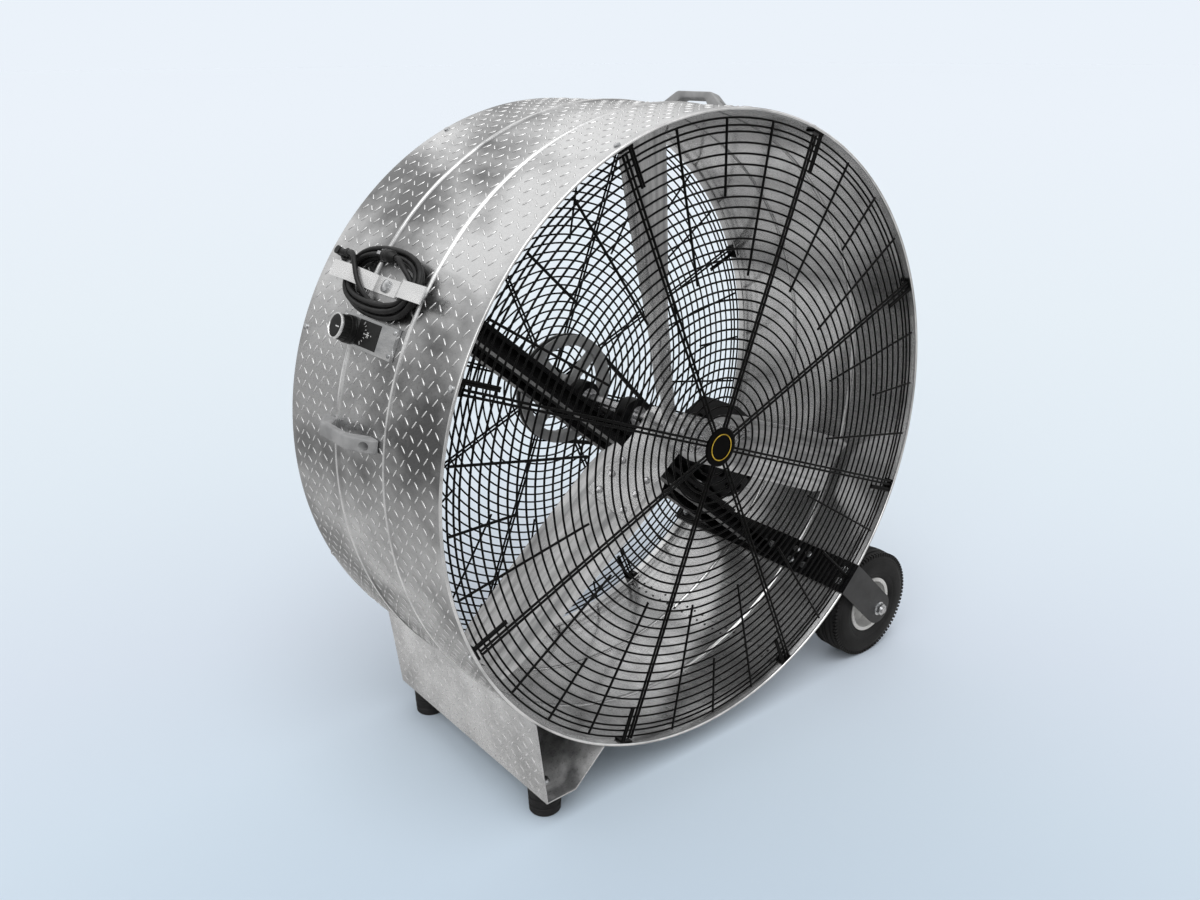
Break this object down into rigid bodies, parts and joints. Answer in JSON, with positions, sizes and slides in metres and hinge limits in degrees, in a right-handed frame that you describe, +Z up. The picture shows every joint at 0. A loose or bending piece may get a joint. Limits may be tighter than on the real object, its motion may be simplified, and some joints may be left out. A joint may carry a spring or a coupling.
{
  "type": "drum fan",
  "caption": "Portable belt-driven drum fan: tread-plate barrel on feet and wheels, wire guards, bladed rotor, motor, handles and a coiled cord.",
  "frame": {"origin": "on the floor, under the middle of the whole fan's outline", "axes": "+Z up; air leaves towards -Y, the front; the wheels are on the +X side"},
  "size_m": [1.3747, 0.604, 1.3397],
  "materials": {
    "tread_plate": "bright tread plate",
    "rubber": "matt",
    "zinc": "bright zinc plated",
    "saddle_paint": "satin dark grey",
    "tyre": "matt",
    "wheel_paint": "gloss",
    "black_paint": "gloss black",
    "cast_black": "painted",
    "bright_steel": "ground",
    "blade_aluminium": "mill",
    "pulley_iron": "grey painted",
    "guard_wire": "gloss black",
    "black_plastic": "satin",
    "grey_plastic": "textured",
    "polished_plate": "polished",
    "cord_rubber": "satin"
  },
  "bodies": {
    "frame": {"drum_shell": "tread_plate", "base_channel": "tread_plate", "front_foot": "rubber", "rear_foot": "rubber", "foot_bolts": "zinc", "wheel_saddle": "saddle_paint", "saddle_bolts": "zinc", "wheel_axle": "zinc", "axle_nuts": "zinc", "axle_spacers": "saddle_paint", "front_cross_rail": "black_paint", "rear_cross_rail": "black_paint", "rail_bolts": "zinc", "front_bearing": "cast_black", "rear_bearing": "cast_black", "bearing_bolts": "zinc", "motor_base": "black_paint", "motor_shell": "black_paint", "motor_end_bells": "cast_black", "motor_box": "black_paint", "motor_bolts": "zinc", "drive_belt": "rubber", "front_guard_rings": "guard_wire", "front_guard_spokes": "guard_wire", "front_guard_clips": "guard_wire", "hub_badge": "black_plastic", "rear_guard_rings": "guard_wire", "rear_guard_spokes": "guard_wire", "rear_guard_clips": "guard_wire", "rear_guard_plate": "guard_wire", "guard_screws": "zinc", "side_handle": "grey_plastic", "top_handle": "grey_plastic", "handle_screws": "zinc", "switch_plate": "polished_plate", "switch_label": "black_plastic", "switch_body": "black_plastic", "inner_leads": "cord_rubber", "cord_cleat": "polished_plate", "fitting_screws": "zinc", "cord_gland": "black_plastic", "cord_run": "cord_rubber", "cord_coil": "cord_rubber", "cord_tail": "cord_rubber", "cord_plug": "cord_rubber"},
    "fan_rotor": {"fan_shaft": "bright_steel", "bearing_collars": "bright_steel", "fan_hub": "zinc", "blade_a": "blade_aluminium", "blade_b": "blade_aluminium", "blade_c": "blade_aluminium", "blade_rivets": "zinc", "fan_pulley": "pulley_iron"},
    "motor_rotor": {"motor_shaft": "bright_steel", "motor_pulley": "pulley_iron"},
    "front_road_wheel": {"front_tyre": "tyre", "front_wheel": "wheel_paint"},
    "rear_road_wheel": {"rear_tyre": "tyre", "rear_wheel": "wheel_paint"},
    "knob": {"switch_knob": "black_plastic"}
  },
  "joints": [
    {"name": "fan_spin", "type": "hinge", "parent": "frame", "child": "fan_rotor", "pos_m": [-0.01516, 0, 0.68884], "axis": [0, 1, 0], "continuous": true},
    {"name": "motor_spin", "type": "hinge", "parent": "frame", "child": "motor_rotor", "pos_m": [0.292, 0, 0.49951], "axis": [0, 1, 0], "continuous": true},
    {"name": "front_wheel_spin", "type": "hinge", "parent": "frame", "child": "front_road_wheel", "pos_m": [0.55239, 0, 0.135], "axis": [0, 1, 0], "continuous": true},
    {"name": "rear_wheel_spin", "type": "hinge", "parent": "frame", "child": "rear_road_wheel", "pos_m": [0.55239, 0, 0.135], "axis": [0, 1, 0], "continuous": true},
    {"name": "knob_turn", "type": "hinge", "parent": "frame", "child": "knob", "pos_m": [-0.6022, 0.084, 0.95021], "axis": [-0.9135, 0, 0.4067], "range_deg": [0, 90]}
  ],
  "couplings": [
    {"joint": "motor_spin", "follows": "fan_spin", "ratio": 4.2333}
  ]
}
